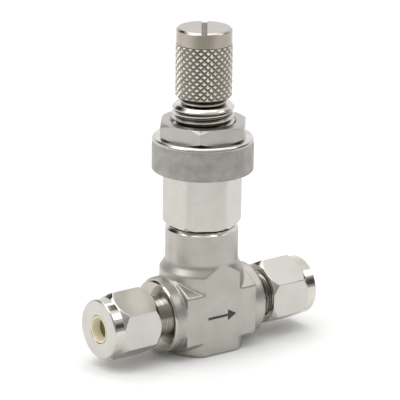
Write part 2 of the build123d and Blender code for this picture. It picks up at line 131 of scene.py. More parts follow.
@dataclass(frozen=True)
class SteelFinish:
    """A stainless steel surface and the marks its making left.

    Attributes:
        name: What the surface is and how it was made.
        pale: Colour of the clean metal.
        deep: Colour of the duller patches.
        roughness: Mean roughness.
        spread: How far the roughness wanders from the mean.
        grain_mm: Spacing of the fine marks.
        depth_mm: Height of the fine marks.
        patch_mm: Size of the duller patches.
        lay: Which way the marks run.
        axis_z: Height of the tubes' axis, for marks turned about it.
        groove_shade: Radii about the stem from which and to which painted shade in the grooves fades out.
        groove_shade_tone: Colour of the painted shade at the grooves' bottoms.
    """

    name: str
    pale: str
    deep: str
    roughness: float
    spread: float
    grain_mm: float
    depth_mm: float
    patch_mm: float
    lay: Lay = Lay.EVEN
    axis_z: float = 0.0
    groove_shade: tuple[float, float] | None = None
    groove_shade_tone: str = "#000000"

    def marks(self, tree: bpy.types.NodeTree, place: bpy.types.NodeSocket) -> bpy.types.NodeSocket:
        """Draw the fine marks: a noise over the space itself, over the space stretched along the
        drawing direction, or over radius plus distance along the lathe's axis.

        Args:
            tree: The material's node tree.
            place: Object coordinates measured from the marks' axis.

        Returns:
            The marks' height, from 0 to 1.
        """
        scale = 1 / (self.grain_mm * MM)
        if self.lay in (Lay.TURNED_Z, Lay.TURNED_X):
            apart = add_node(tree, "SeparateXYZ", sockets={0: place}).outputs
            along, across = ("Z", "X") if self.lay is Lay.TURNED_Z else ("X", "Z")
            flat = add_node(tree, "CombineXYZ", sockets={"X": apart[across], "Y": apart["Y"]})
            radius = add_node(tree, "VectorMath", {"operation": "LENGTH"}, {0: flat.outputs[0]})
            track = add_node(
                tree, "Math", {"operation": "ADD"}, {0: radius.outputs["Value"], 1: apart[along]}
            )
            lines = add_node(
                tree,
                "TexNoise",
                {"noise_dimensions": "1D"},
                {"W": track.outputs[0], "Scale": scale, "Detail": 2.0},
            )
            return lines.outputs["Fac"]
        drawn = {Lay.DRAWN_Z: (1.0, 1.0, DRAWN_OUT), Lay.DRAWN_X: (DRAWN_OUT, 1.0, 1.0)}
        stretch = drawn.get(self.lay, (1.0, 1.0, 1.0))
        space = add_node(tree, "Mapping", sockets={"Vector": place, "Scale": stretch})
        grain = add_node(
            tree, "TexNoise", sockets={"Vector": space.outputs[0], "Scale": scale, "Detail": 3.0}
        )
        return grain.outputs["Fac"]

    def material(self) -> bpy.types.Material:
        """Build the material: patches drive the colour, patches and marks the roughness, and the
        marks the bump. Where a groove shade is given, painted shade darkens the colour towards the grooves'
        bottoms.

        Returns:
            A material named for the finish.
        """
        made = bpy.data.materials.new(self.name)
        made.use_nodes = True
        tree = made.node_tree
        shader = tree.nodes["Principled BSDF"]
        coords = add_node(tree, "TexCoord").outputs["Object"]
        place = add_node(
            tree, "Mapping", sockets={"Vector": coords, "Location": (0, 0, -self.axis_z * MM)}
        ).outputs[0]
        patch = add_node(
            tree,
            "TexNoise",
            sockets={"Vector": coords, "Scale": 1 / (self.patch_mm * MM), "Detail": 3.0},
        )
        blend = add_node(
            tree,
            "MapRange",
            sockets={"Value": patch.outputs["Fac"], "From Min": 0.32, "From Max": 0.68},
        )
        colour = add_node(
            tree,
            "Mix",
            {"data_type": "RGBA"},
            {0: blend.outputs[0], 6: linear(self.deep), 7: linear(self.pale)},
        )
        tone = colour.outputs[2]
        # painted shade: the colour darkens towards the grooves' bottoms, by radius about the stem
        if self.groove_shade:
            flat = add_node(tree, "VectorMath", {"operation": "MULTIPLY"}, {0: coords, 1: (1, 1, 0)})
            radius = add_node(tree, "VectorMath", {"operation": "LENGTH"}, {0: flat.outputs[0]})
            unshaded = add_node(
                tree,
                "MapRange",
                sockets={
                    "Value": radius.outputs["Value"],
                    "From Min": self.groove_shade[0] * MM,
                    "From Max": self.groove_shade[1] * MM,
                },
            )
            tone = add_node(
                tree,
                "Mix",
                {"data_type": "RGBA"},
                {0: unshaded.outputs[0], 6: linear(self.groove_shade_tone), 7: tone},
            ).outputs[2]
        marks = self.marks(tree, place)
        both = add_node(tree, "Math", {"operation": "ADD"}, {0: patch.outputs["Fac"], 1: marks})
        rough = add_node(
            tree,
            "MapRange",
            sockets={
                "Value": both.outputs[0],
                "From Min": 0.6,
                "From Max": 1.4,
                "To Min": self.roughness + self.spread,
                "To Max": self.roughness - self.spread,
            },
        )
        bump = add_node(
            tree, "Bump", sockets={"Height": marks, "Distance": self.depth_mm * MM, "Strength": 1.0}
        )
        shader.inputs["Metallic"].default_value = 1.0
        tree.links.new(tone, shader.inputs["Base Color"])
        tree.links.new(rough.outputs[0], shader.inputs["Roughness"])
        tree.links.new(bump.outputs[0], shader.inputs["Normal"])
        return made


@dataclass(frozen=True)
class MouldedFinish:
    """A plastic or rubber surface as it came off its mould or blade.

    Attributes:
        name: What the surface is and how it was made.
        pale: Colour where the wall is thin or clean.
        deep: Colour where it is thick or dull.
        roughness: Mean roughness.
        grain_mm: Size of the surface's unevenness.
        depth_mm: Height of the unevenness.
        ior: Index of refraction.
        glow: Share of light that passes under the surface.
    """

    name: str
    pale: str
    deep: str
    roughness: float
    grain_mm: float
    depth_mm: float
    ior: float
    glow: float = 0.0

    def material(self) -> bpy.types.Material:
        """Build the material: one noise drives the colour, the roughness and the bump.

        Returns:
            A material named for the finish.
        """
        made = bpy.data.materials.new(self.name)
        made.use_nodes = True
        tree = made.node_tree
        shader = tree.nodes["Principled BSDF"]
        coords = add_node(tree, "TexCoord").outputs["Object"]
        grain = add_node(
            tree,
            "TexNoise",
            sockets={"Vector": coords, "Scale": 1 / (self.grain_mm * MM), "Detail": 3.0},
        ).outputs["Fac"]
        colour = add_node(
            tree, "Mix", {"data_type": "RGBA"}, {0: grain, 6: linear(self.deep), 7: linear(self.pale)}
        )
        rough = add_node(
            tree,
            "MapRange",
            sockets={"Value": grain, "To Min": self.roughness - 0.06, "To Max": self.roughness + 0.06},
        )
        bump = add_node(
            tree, "Bump", sockets={"Height": grain, "Distance": self.depth_mm * MM, "Strength": 1.0}
        )
        shader.inputs["IOR"].default_value = self.ior
        shader.inputs["Subsurface Weight"].default_value = self.glow
        shader.inputs["Subsurface Radius"].default_value = (0.0012, 0.0010, 0.0006)
        tree.links.new(colour.outputs[2], shader.inputs["Base Color"])
        tree.links.new(rough.outputs[0], shader.inputs["Roughness"])
        tree.links.new(bump.outputs[0], shader.inputs["Normal"])
        return made


@dataclass
class Finishes:
    """Every finish on the valve, made once and shared by its pieces.

    Attributes:
        port_height: Height of the tubes' axis, which the ports' lathe marks go round.
    """

    port_height: float
    made: dict[str, bpy.types.Material] = field(default_factory=dict)

    def __post_init__(self) -> None:
        """Make the materials."""
        port = {"lay": Lay.TURNED_X, "axis_z": self.port_height}
        kinds = {
            # the forging's skin: dull and even, with faint broad patches
            "forged": SteelFinish(
                "forged_blasted_steel", "#BAB7B0", "#B3B0A9", 0.40, 0.04, 0.3, 0.004, 3.2,
            ),
            # lathe-faced steel at the ports: bright, with rings too fine to see one by one
            "port_turned": SteelFinish(
                "turned_port_steel", "#CCCAC5", "#C5C2BC", 0.17, 0.03, 0.25, 0.0006, 5.0, **port,
            ),
            # a nut's nose, turned then burnished: nearly a mirror, with soft broad rings
            "port_polished": SteelFinish(
                "burnished_nut_steel", "#DAD7D0", "#C6C2B8", 0.09, 0.03, 0.6, 0.0008, 6.0, **port,
            ),
            # cold-drawn hexagon bar: satin flats with long faint lines
            "drawn_x": SteelFinish(
                "drawn_hexagon_steel", "#CDCBC5", "#C8C5BE", 0.29, 0.015, 0.12, 0.00015, 4.0, Lay.DRAWN_X,
            ),
            "drawn_z": SteelFinish(
                "drawn_bonnet_steel", "#C8C5BF", "#C2BFB8", 0.27, 0.02, 0.12, 0.0002, 4.0, Lay.DRAWN_Z,
            ),
            # the bonnet's turned neck: bright crests, with the thread roots browned by painted shade
            "neck": SteelFinish(
                "turned_neck_steel", "#D8D6D1", "#CFCCC6", 0.14, 0.03, 0.25, 0.0006, 5.0, Lay.TURNED_Z,
                groove_shade=(6.3, 7.0), groove_shade_tone="#6A6156",
            ),
            # the thin panel nut: satin, painted a little darker than the bonnet as shade, so the two stand
            # apart
            "panel_nut": SteelFinish(
                "drawn_panel_nut_steel_painted_shade", "#B7B4AF", "#B2AFAA", 0.3, 0.02, 0.12, 0.0002, 4.0, Lay.DRAWN_Z,
            ),
            # the body's turned end discs and reliefs: nearly mirror, so they show dark and light
            "disc": SteelFinish(
                "turned_disc_steel", "#BFBCB5", "#B8B4AC", 0.12, 0.03, 0.25, 0.0004, 5.0, **port,
            ),
            # lathe-turned threads, chamfers and rims about the stem: bright
            "stem_turned": SteelFinish(
                "turned_stem_steel", "#D8D6D1", "#C5C2BB", 0.16, 0.05, 0.25, 0.0012, 5.0, Lay.TURNED_Z,
            ),
            # glass-bead blasted ring: fine even matt that scatters the light
            "blasted": SteelFinish("bead_blasted_steel", "#ABA9A4", "#9B9993", 0.46, 0.05, 0.3, 0.008, 2.5),
            # cut knurl: bright crests, a shade warmer than the steel below, over grooves darkened by painted
            # shade
            "knurled": SteelFinish(
                "knurled_handle_steel", "#E2DDD2", "#D6D0C4", 0.2, 0.05, 0.25, 0.0005, 2.0,
                groove_shade=(6.15, 6.5), groove_shade_tone="#403A31",
            ),
            # the handle's plain band: turned, darker and browner than its top as painted shade, so the rim
            # shows
            "band": SteelFinish(
                "turned_band_steel_painted_shade", "#B3ABA0", "#A9A196", 0.2, 0.04, 0.22, 0.0008, 4.0, Lay.TURNED_Z,
            ),
            # the handle's faced top: turned, paler than the band below it
            "handle_top": SteelFinish(
                "faced_top_steel", "#BBB6AF", "#B4AFA7", 0.22, 0.03, 0.25, 0.0006, 5.0, Lay.TURNED_Z,
            ),
            # the slot's floor and other cutter-left hollows: duller, and darker and browner as painted shade
            "milled": SteelFinish("milled_slot_steel_painted_shade", "#857D70", "#736B5F", 0.42, 0.05, 0.3, 0.003, 1.2),
            # the flow arrow: dark and matt against the flat
            "etched": SteelFinish(
                "laser_darkened_steel", "#5C5A57", "#4C4A48", 0.55, 0.05, 0.3, 0.001, 1.0,
            ),
            # thin-walled natural polyethylene: waxy, lets a little light through
            "plug": MouldedFinish(
                "moulded_ivory_polyethylene", "#F4EED2", "#E9E0BE", 0.42, 1.6, 0.006, 1.51, 0.25,
            ),
            # the plug's thick floor, deep in the bore where little light comes: olive and dull painted shade
            "plug_floor": MouldedFinish(
                "shaded_olive_polyethylene", "#7E7048", "#6A5D3A", 0.5, 1.6, 0.006, 1.51,
            ),
            # fluorocarbon rubber O-ring: black with a dull bloom
            "rubber": MouldedFinish("moulded_black_rubber", "#2A2A2B", "#1B1B1C", 0.62, 0.5, 0.002, 1.5),
            # skived PTFE backup rings: white and waxy
            "ptfe": MouldedFinish("skived_white_ptfe", "#F1F0EA", "#E6E4DB", 0.38, 0.6, 0.002, 1.35, 0.1),
        }
        self.made = {key: kind.material() for key, kind in kinds.items()}

    def __getitem__(self, key: str) -> bpy.types.Material:
        """Give a finish's material by its short name."""
        return self.made[key]


# --- surfaces --------------------------------------------------------------------------------


class Axis(Enum):
    """The axis that a piece is turned about."""

    STEM = "stem"
    LEFT = "left"
    RIGHT = "right"


def corner_points(corners: list[tuple], columns: int) -> np.ndarray:
    """Spread an outline's corners over the columns of a grid.

    Args:
        corners: (distance along the axis, radius) pairs, each number or one number per column.
        columns: How many columns the grid has.

    Returns:
        An array of corner, column and (along, radius).
    """
    spread = [[np.broadcast_to(np.asarray(v, float), (columns,)) for v in pair] for pair in corners]
    return np.array(spread).transpose(0, 2, 1)


def broken_edges(outline: np.ndarray, width: float, closed: bool) -> np.ndarray:
    """Cut every corner of an outline by a small flat, as a deburring tool does.

    Each corner becomes two points, one back and one forward along its two sides, by the width or
    by 0.4 of a side that is shorter.

    Args:
        outline: Corner, column and (along, radius).
        width: How far along each side the cut reaches.
        closed: Whether the last corner joins the first.

    Returns:
        The outline with two points for each corner, or one for an open outline's two ends.
    """
    ahead = np.roll(outline, -1, axis=0) - outline
    length = np.maximum(np.linalg.norm(ahead, axis=2, keepdims=True), 1e-9)
    step = ahead / length * np.minimum(width, 0.4 * length)
    before, after = outline - np.roll(step, 1, axis=0), outline + step
    doubled = np.stack([before, after], axis=1).reshape(-1, outline.shape[1], 2)
    return doubled if closed else np.concatenate([outline[:1], doubled[2:-2], outline[-1:]])


def hexagon(across_flats: float, corner_deg: float, edge_r: float) -> tuple[np.ndarray, np.ndarray]:
    """Give a hexagon bar's radius round its axis.

    Away from a corner the radius is half the flats over the cosine of the angle from the flat's
    middle. Within a corner it is the far side of a small circle that touches both flats.

    Args:
        across_flats: Size of the hexagon.
        corner_deg: Angle of one corner.
        edge_r: Radius of the rounded corners.

    Returns:
        The columns' angles, and the radius at each.
    """
    centre = (across_flats / 2 - edge_r) / math.cos(math.pi / 6)
    reach = math.atan2(edge_r / 2, centre + edge_r * math.cos(math.pi / 6))
    sector = np.concatenate(
        [np.linspace(-reach, reach, 6), np.linspace(reach * 1.6, TURN / 6 - reach * 1.6, 11)]
    )
    from_corner = np.tile(sector, 6)
    angle = from_corner + np.repeat(np.arange(6) * TURN / 6, len(sector)) + math.radians(corner_deg)
    from_flat = from_corner - math.pi / 6
    flat_r = across_flats / 2 / np.cos(from_flat)
    inside = np.maximum(edge_r**2 - (centre * np.sin(from_corner)) ** 2, 0)
    round_r = centre * np.cos(from_corner) + np.sqrt(inside)
    return angle, np.where(np.abs(from_corner) <= reach * 1.001, round_r, flat_r)


def even_angles(columns: int) -> np.ndarray:
    """Give evenly spaced angles round a circle."""
    return np.arange(columns) * TURN / columns


@dataclass
class Skin:
    """Closed surfaces gathered into one mesh, with a finish for every face.

    Attributes:
        axis_z: Height of the tubes' axis.
    """

    axis_z: float
    points: list[np.ndarray] = field(default_factory=list)
    faces: list[list[int]] = field(default_factory=list)
    finish: list[np.ndarray] = field(default_factory=list)
    count: int = 0

    def place(self, outline: np.ndarray, angle: np.ndarray, axis: Axis) -> np.ndarray:
        """Turn an outline about an axis: the two other coordinates are the radius times the
        cosine and the sine of the angle.

        Args:
            outline: Row, column and (along, radius).
            angle: The columns' angles, from +X about the stem and from +Y about the tubes.
            axis: Which axis the outline is turned about.

        Returns:
            Row, column and (x, y, z).
        """
        along, radius = outline[..., 0], outline[..., 1]
        across, up = radius * np.cos(angle), radius * np.sin(angle)
        if axis is Axis.STEM:
            return np.stack([across, up, along], axis=-1)
        side = 1 if axis is Axis.RIGHT else -1
        return np.stack([side * along, across, self.axis_z + up], axis=-1)

    def add_grid(
        self, grid: np.ndarray, finish: np.ndarray, closed: bool, creased: bool = False
    ) -> None:
        """Add a grid whose columns go round. Its rows go round too, or end in two single points.

        The faces point outwards: where the volume that they close comes out below nought, as the
        sum of the tetrahedra from the grid's middle to each face, they are all turned round.

        Args:
            grid: Row, column and (x, y, z).
            finish: A finish number for each row of faces.
            closed: Whether the last row joins the first.
            creased: Whether to cut each face in two, along the diagonal whose ends are nearest to
                the same distance from the stem, so that grooves keep a clean bottom.
        """
        rows, columns = grid.shape[:2]
        index = np.arange(rows * columns).reshape(rows, columns)
        if closed:
            index = np.concatenate([index, index[:1]])
        low, high = index[:-1], index[1:]
        if not closed:
            low = np.concatenate([np.repeat(low[:1, :1], columns, axis=1), low[1:]])
            high = np.concatenate([high[:-1], np.repeat(high[-1:, :1], columns, axis=1)])
        quads = np.stack([low, np.roll(low, -1, 1), np.roll(high, -1, 1), high], -1).reshape(-1, 4)
        flat = grid.reshape(-1, 3)
        corner = flat[quads] - flat.mean(axis=0)
        first = np.cross(corner[:, 1], corner[:, 2]) * corner[:, 0]
        second = np.cross(corner[:, 2], corner[:, 3]) * corner[:, 0]
        if (first + second).sum() < 0:
            quads = quads[:, ::-1]
        if creased:
            reach = np.hypot(flat[:, 0], flat[:, 1])[quads]
            level = np.abs(reach[:, 0] - reach[:, 2]) <= np.abs(reach[:, 1] - reach[:, 3])
            begun = np.where(level[:, None], quads, np.roll(quads, -1, 1))
            quads = np.stack([begun[:, [0, 1, 2]], begun[:, [0, 2, 3]]], 1).reshape(-1, 3)
        self.faces += (quads + self.count).tolist()
        self.points.append(flat)
        self.finish.append(np.repeat(finish, columns * (2 if creased else 1)))
        self.count += len(flat)

    def add_turned(
        self,
        corners: list[tuple],
        finish: list[int],
        axis: Axis,
        angle: np.ndarray,
        closed: bool = True,
        edge: float = 0.06,
    ) -> None:
        """Add a turned solid with its edges broken.

        Args:
            corners: The outline's (along, radius) corners in order.
            finish: The finish number of the side that follows each corner.
            axis: Which axis it is turned about.
            angle: The columns' angles.
            closed: Whether the outline is a ring's, or one that starts and ends on the axis.
            edge: Width of the broken edges.
        """
        outline = broken_edges(corner_points(corners, len(angle)), edge, closed)
        numbers = np.repeat(finish, 2)[: None if closed else -1]
        self.add_grid(self.place(outline, angle, axis), numbers, closed)

    def add_thread(
        self, axis: Axis, start: float, end: float, crest_r: float, pitch: float, cone: float, finish: int
    ) -> None:
        """Add a screw thread's ridge, to lie on a core turned at the root radius.

        The profile is a trapezoid with 60 degree flanks and a crest an eighth of the pitch wide. It
        is carried along a helix, shrinks to nothing over a sixth of a turn at each end, and stays
        under a 45 degree cone that cuts the far end.

        Args:
            axis: Which axis it goes round.
            start: Where the ridge starts along the axis.
            end: Where it ends.
            crest_r: Radius over the crests.
            pitch: Advance of one turn.
            cone: How far back the cone starts, from 0.3 of a pitch past the end.
            finish: The ridge's finish number.
        """
        steps = int((end - start) / pitch * THREAD_STEPS)
        travel = np.linspace(0, 1, steps)
        turns = (end - start) / pitch
        angle = travel * turns * TURN
        swell = np.clip(np.minimum(travel, 1 - travel) * turns * 6, 0.02, 1)
        depth = THREAD_DEPTH * pitch
        rise = np.array([-0.12, 1.0, 1.0, -0.12]) * depth
        half = np.array([-0.46, -0.07, 0.07, 0.46]) * pitch
        radius = crest_r - depth + rise[:, None] * swell[None]
        along = start + travel * (end - start) + half[:, None] * swell[None]
        radius = np.minimum(radius, crest_r - np.maximum(along - (end + 0.3 * pitch - cone), 0))
        loop = self.place(np.stack([along, radius], -1), angle, axis)
        middle = loop.mean(axis=0)
        ends = [middle[where, None].repeat(4, 1) for where in (slice(None, 1), slice(-1, None))]
        grid = np.concatenate([ends[0], loop.transpose(1, 0, 2), ends[1]])
        self.add_grid(grid, np.full(len(grid) - 1, finish), False)

    def build(
        self,
        name: str,
        materials: list[bpy.types.Material],
        body: str,
        slot: str,
        nodes: tuple[str, ...],
        smooth_deg: float = 24.0,
    ) -> bpy.types.Object:
        """Write the mesh, hang it on its body and hide the CAD nodes that it stands for.

        Args:
            name: The piece's name.
            materials: The finishes that the numbers count.
            body: The CAD body it moves with.
            slot: The record's material slot; not used.
            nodes: The CAD nodes it stands for.
            smooth_deg: Edges sharper than this stay sharp.

        Returns:
            The finished object.
        """
        mesh = bpy.data.meshes.new(name)
        spots, where = np.unique(np.round(np.concatenate(self.points), 5), axis=0, return_inverse=True)
        kept, numbers = [], []
        merged = where.reshape(-1)[np.array(self.faces)]
        for face, number in zip(merged.tolist(), np.concatenate(self.finish).tolist()):
            ring = [v for i, v in enumerate(face) if v != face[i - 1]]
            if len(set(ring)) > 2:
                kept.append(ring)
                numbers.append(number)
        mesh.from_pydata((spots * MM).tolist(), [], kept)
        for material in materials:
            mesh.materials.append(material)
        mesh.polygons.foreach_set("material_index", numbers)
        mesh.polygons.foreach_set("use_smooth", [True] * len(kept))
        mesh.set_sharp_from_angle(angle=math.radians(smooth_deg))
        mesh.update()
        made = bpy.data.objects.new(name, mesh)
        bpy.context.collection.objects.link(made)
        weigh = made.modifiers.new("flats keep their light", "WEIGHTED_NORMAL")
        weigh.keep_sharp = True
        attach(made, body)
        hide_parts(*nodes)
        log.info("%s: %d faces on %s", name, len(kept), body)
        return made


def smooth_most(a: np.ndarray, b: np.ndarray, blend: float) -> np.ndarray:
    """Give the larger of two distances, rounded off over a blend where they are nearly equal: the
    larger plus the square of their closeness over four times the blend.

    Args:
        a: One distance.
        b: The other.
        blend: How close they are when the rounding starts.

    Returns:
        The rounded larger distance.
    """
    near = np.maximum(blend - np.abs(a - b), 0)
    return np.maximum(a, b) + near * near / (4 * blend)


def smooth_least(a: np.ndarray, b: np.ndarray, blend: float) -> np.ndarray:
    """Give the smaller of two distances, filled in over a blend where they are nearly equal."""
    return -smooth_most(-a, -b, blend)


# --- the valve's body ------------------------------------------------------------------------


@dataclass
class Forging:
    """The forged body: a round middle cut by two flats, two crowned arms, two round ends and a
    column, all blended as the die leaves them, with the column's rim and bore turned.

    Attributes:
        flat_y: Half the distance between the flats, and the radius of the column and the ends.
        drum_r: Radius of the round middle.
        drum_height: From the tubes' axis to the top of the middle's side.
        shoulder: Height of the slope from the middle up to the column.
        pad_x: Half length of the arms.
        pad_edge: Half height of the arms' flat sides.
        pad_crown: Half height of the arms at their middle.
        end_x: Where the forged ends meet the turned faces.
        foot: From the foot that the valve stands on to the tubes' axis.
        die_r: Size of the blends in the corners.
        rim_chamfer: Chamfer of the column's rim.
        column_flat: Half the distance between the column's two faint side flats.
        thread_r: Radius of the thread that takes the bonnet, and of its countersunk mouth.
        cavity: Radius and height of the counterbore round the bonnet's nose.
    """

    foot: float
    flat_y: float = 8.45
    drum_r: float = 9.7
    drum_height: float = 10.0
    shoulder: float = 1.9
    pad_x: float = 9.8
    pad_edge: float = 5.8
    pad_crown: float = 8.7
    end_x: float = 12.58
    die_r: float = 0.4
    rim_chamfer: float = 0.65
    column_flat: float = 8.33
    thread_r: tuple = (6.35, 6.8)
    cavity: tuple = (5.2, 4.6)

    def outside(self, x: np.ndarray, y: np.ndarray, z: np.ndarray) -> np.ndarray:
        """Give how far points are outside the forging, less than nought inside it.

        Each part is the largest of its walls' distances, and the forging is the least of its
        parts', both rounded where two are nearly equal. The flats cut it all.

        Args:
            x: Distance along the tubes.
            y: Distance across.
            z: Height above the tubes' axis.

        Returns:
            The distances.
        """
        round_r = np.hypot(x, y)
        lean = math.hypot(self.shoulder, self.drum_r - self.flat_y)
        inward = self.drum_r - self.flat_y
        slope = ((round_r - self.drum_r) * self.shoulder + (z - self.drum_height) * inward) / lean
        drum = smooth_most(round_r - self.drum_r, np.abs(y) - self.flat_y, 0.12)
        drum = smooth_most(drum, slope, 0.15)
        rise = self.pad_crown - self.pad_edge
        crown_r = (self.flat_y**2 + rise**2) / (2 * rise)
        crown = np.hypot(y, np.abs(z) + crown_r - self.pad_crown) - crown_r
        pads = smooth_most(crown, np.abs(y) - self.flat_y, 0.3)
        pads = smooth_most(pads, np.abs(x) - self.pad_x, 0.45)
        ends = np.maximum(np.hypot(y, z) - self.flat_y, np.abs(x) - self.end_x)
        arms = smooth_least(pads, ends, self.die_r)
        column = smooth_most(round_r - self.flat_y, np.abs(x) - self.column_flat, 0.05)
        column = np.maximum(column, -z)
        whole = smooth_least(smooth_least(drum, column, self.die_r), arms, self.die_r)
        whole = np.maximum(whole, np.abs(y) - self.flat_y)
        return smooth_most(whole, -z - self.foot, 0.7)

    def skin_radius(self, rise: np.ndarray, round_: np.ndarray) -> np.ndarray:
        """Find how far the forging reaches in each direction from its centre, by halving.

        Args:
            rise: The rows' angles above the level.
            round_: The columns' angles round the stem.

        Returns:
            The distances, by row and column.
        """
        level, up = np.cos(rise)[:, None], np.sin(rise)[:, None]
        x, y, z = level * np.cos(round_), level * np.sin(round_), up + 0 * round_
        near, far = np.zeros_like(x), np.full_like(x, 30.0)
        for _ in range(34):
            middle = (near + far) / 2
            out = self.outside(x * middle, y * middle, z * middle) > 0
            near, far = np.where(out, near, middle), np.where(out, middle, far)
        return (near + far) / 2

    def build(self, finishes: Finishes) -> None:
        """Build the forging's skin, its rim and its bore as one closed surface.

        Args:
            finishes: The shared finishes.
        """
        port = finishes.port_height
        top = cad_box("valve_body")[1, 2]
        gasket = cad_box("bonnet_gasket")[0, 2]
        rim = top - self.rim_chamfer
        highest = math.atan2(rim - port, self.flat_y)
        rise = np.concatenate(
            [np.radians(np.linspace(-90, 57, 190)), np.linspace(math.radians(58), highest, 5)]
        )
        angle = even_angles(440)
        reach = self.skin_radius(rise, angle)
        along = port + reach * np.sin(rise)[:, None]
        radius = reach * np.cos(rise)[:, None]
        radius[0] = 0
        top_r = self.flat_y - self.rim_chamfer
        thread_r, mouth_r = self.thread_r
        cavity_r, cavity_height = self.cavity
        rows = [
            (rim + 0.02, self.flat_y), (top - 0.06, top_r + 0.04), (top, top_r - 0.04), (top, mouth_r),
            (top - 0.4, thread_r), (gasket + cavity_height, thread_r), (gasket + cavity_height, cavity_r),
            (gasket, cavity_r), (gasket, 0),
        ]
        turned = corner_points(rows, len(angle))
        outline = np.concatenate([np.stack([along, radius], -1), turned])
        skin = Skin(port)
        numbers = np.concatenate([np.zeros(len(rise)), np.ones(len(rows) - 1)]).astype(int)
        skin.add_grid(skin.place(outline, angle, Axis.STEM), numbers, False)
        skin.build("forged_body", [finishes["forged"], finishes["stem_turned"]], "body", "forged_steel",
                   ("valve_body",))


@dataclass
class PortEnd:
    """One end of the body: the turned face, the relief, the 7/16-20 thread and the tube socket.

    Attributes:
        axis: Which side it is on.
        face_x: Outer face of the body's round end.
        end_r: Radius of the round end.
        chamfer: Chamfer of its outer edge.
        relief_r: Radius of the undercut behind the thread.
        relief_length: Length of the undercut.
        neck_length: From the round end's face to the thread's tip.
        crest_r: Radius over the thread.
        pitch: Advance of one turn.
        socket_r: Radius of the tube's socket.
        socket_wall: From the round end's face to the socket's floor.
        mouth_r: Radius of the ferrules' cone at the tip.
        cone_length: Length of that cone.
        passage_r: Radius of the drilled passage.
    """

    axis: Axis
    face_x: float = 13.0
    end_r: float = 8.46
    chamfer: float = 0.4
    relief_r: float = 4.75
    relief_length: float = 1.6
    neck_length: float = 10.2
    crest_r: float = 5.555
    pitch: float = 1.27
    socket_r: float = 3.05
    socket_wall: float = 0.55
    mouth_r: float = 4.25
    cone_length: float = 2.4
    passage_r: float = 0.9

    def build(self, finishes: Finishes) -> None:
        """Build the turned end and its thread as one piece.

        Args:
            finishes: The shared finishes.
        """
        face, tip = self.face_x, self.face_x + self.neck_length
        root = self.crest_r - THREAD_DEPTH * self.pitch
        relief, floor = face + self.relief_length, face + self.socket_wall
        hidden = self.end_r - 0.35  # behind the rim it stays under the forging's skin
        corners = [
            (face - 3, 0), (face - 3, hidden), (face - 0.46, hidden), (face - 0.46, self.end_r),
            (face - self.chamfer, self.end_r), (face, self.end_r - self.chamfer), (face, self.relief_r),
            (relief, self.relief_r), (relief, root), (tip - 0.1, root), (tip, root - 0.1),
            (tip, self.mouth_r), (tip - self.cone_length, self.socket_r), (floor, self.socket_r),
            (floor, self.passage_r), (face - 2, self.passage_r), (face - 2, 0),
        ]
        finish = [0] * 6 + [1] * (len(corners) - 7)
        skin = Skin(finishes.port_height)
        skin.add_turned(corners, finish, self.axis, even_angles(144), False, 0.05)
        skin.add_thread(self.axis, face + 1.9, tip - 0.5, self.crest_r, self.pitch, 0.4, 1)
        metals = [finishes["disc"], finishes["port_turned"]]
        skin.build(f"{self.axis.value}_port_end", metals, "body", "forged_steel", ("valve_body",))


@dataclass
class FlowArrow:
    """A plain dark arrow on the front flat, that shows which way the valve flows.

    Attributes:
        length: Over all.
        head: Length and half height of the head.
        shaft: Half height of the shaft.
        lift: How far it reaches in front of and behind the flat.
    """

    length: float = 8.0
    head: tuple = (2.4, 1.35)
    shaft: float = 0.32
    lift: float = 0.012

    def build(self, finishes: Finishes) -> None:
        """Build the arrow as a grid: its half height is the shaft's, then falls from the head's to
        nought at the point.

        Args:
            finishes: The shared finishes.
        """
        half, neck = self.length / 2, self.length / 2 - self.head[0]
        along = np.array([-half, -half, neck, neck, half, half])
        tall = np.array([0.0, self.shaft, self.shaft, self.head[1], 0.001, 0.0])
        front = cad_box("valve_body")[0, 1]
        z = finishes.port_height
        across = np.array([[1.0, 1.0, -1.0, -1.0]])
        depth = np.array([[-self.lift, self.lift, self.lift, -self.lift]])
        grid = np.stack([along[:, None] + 0 * across, front + 0.001 - depth + 0 * along[:, None],
                         z + tall[:, None] * across], -1)
        skin = Skin(finishes.port_height)
        skin.add_grid(grid, np.zeros(len(along) - 1, int), False)
        skin.build("flow_arrow", [finishes["etched"]], "body", "forged_steel", ())


# --- bonnet, ring and panel nut --------------------------------------------------------------


